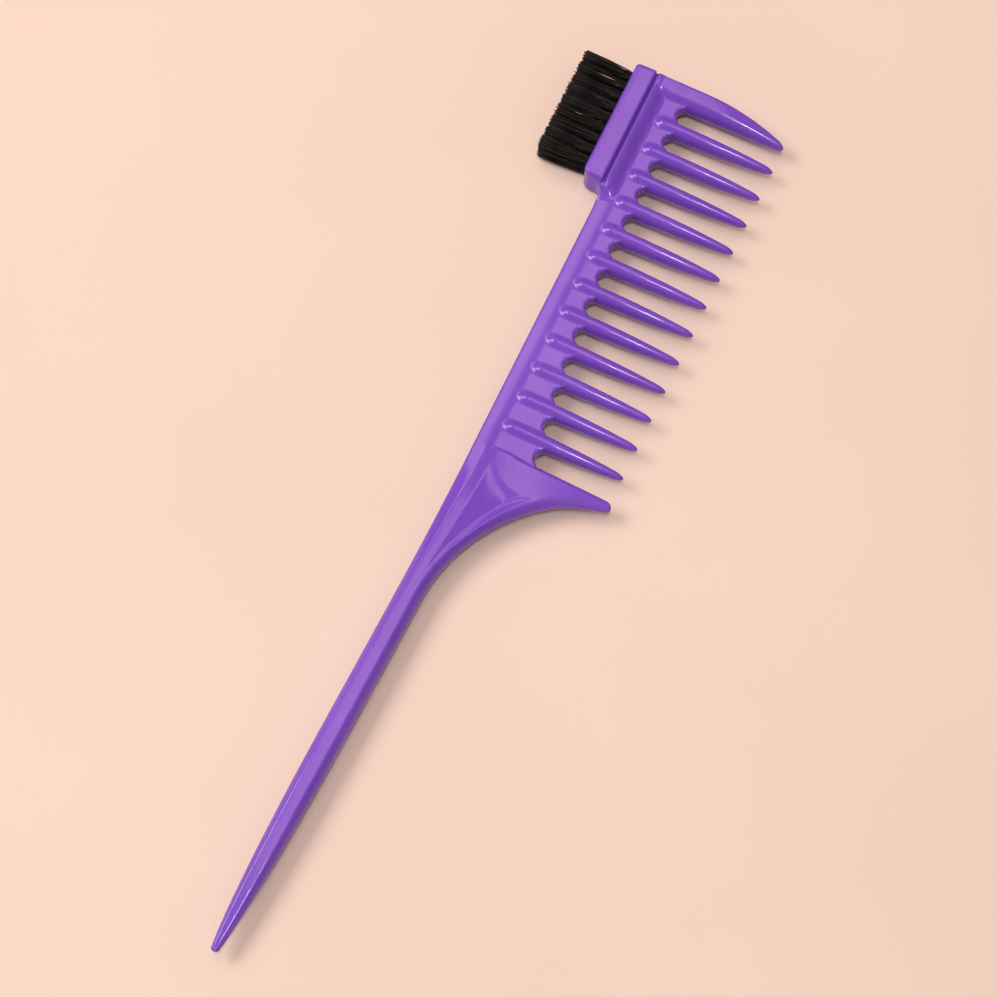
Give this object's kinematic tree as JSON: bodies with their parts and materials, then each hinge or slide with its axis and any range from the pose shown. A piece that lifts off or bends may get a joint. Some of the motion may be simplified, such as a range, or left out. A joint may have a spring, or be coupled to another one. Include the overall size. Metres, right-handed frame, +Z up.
{
  "type": "tint brush",
  "caption": "Hair colouring tint brush: rake comb with tapered teeth, bristle block on the back of the head, pin-tail handle.",
  "frame": {"origin": "centre of the outline's bounding box in plan, on the plane of the bristle block's lower face", "axes": "+X from the tail to the head end, +Y toward the bristles, comb teeth toward -Y, +Z up through the thickness; the moulding is symmetric about its mid-plane"},
  "size_m": [0.2186, 0.051, 0.0084],
  "materials": {
    "purple_plastic": "polished injection-moulded plastic",
    "black_nylon": "black-brown nylon filaments",
    "staple_brass": "flat wire"
  },
  "bodies": {
    "root": {"comb_body": "purple_plastic", "tuft_staples": "staple_brass", "tuft_r1c1": "black_nylon", "tuft_r1c2": "black_nylon", "tuft_r1c3": "black_nylon", "tuft_r1c4": "black_nylon", "tuft_r1c5": "black_nylon", "tuft_r1c6": "black_nylon", "tuft_r1c7": "black_nylon", "tuft_r1c8": "black_nylon", "tuft_r1c9": "black_nylon", "tuft_r2c1": "black_nylon", "tuft_r2c2": "black_nylon", "tuft_r2c3": "black_nylon", "tuft_r2c4": "black_nylon", "tuft_r2c5": "black_nylon", "tuft_r2c6": "black_nylon", "tuft_r2c7": "black_nylon", "tuft_r2c8": "black_nylon", "tuft_r2c9": "black_nylon", "tuft_r3c1": "black_nylon", "tuft_r3c2": "black_nylon", "tuft_r3c3": "black_nylon", "tuft_r3c4": "black_nylon", "tuft_r3c5": "black_nylon", "tuft_r3c6": "black_nylon", "tuft_r3c7": "black_nylon", "tuft_r3c8": "black_nylon", "tuft_r3c9": "black_nylon"}
  },
  "joints": []
}
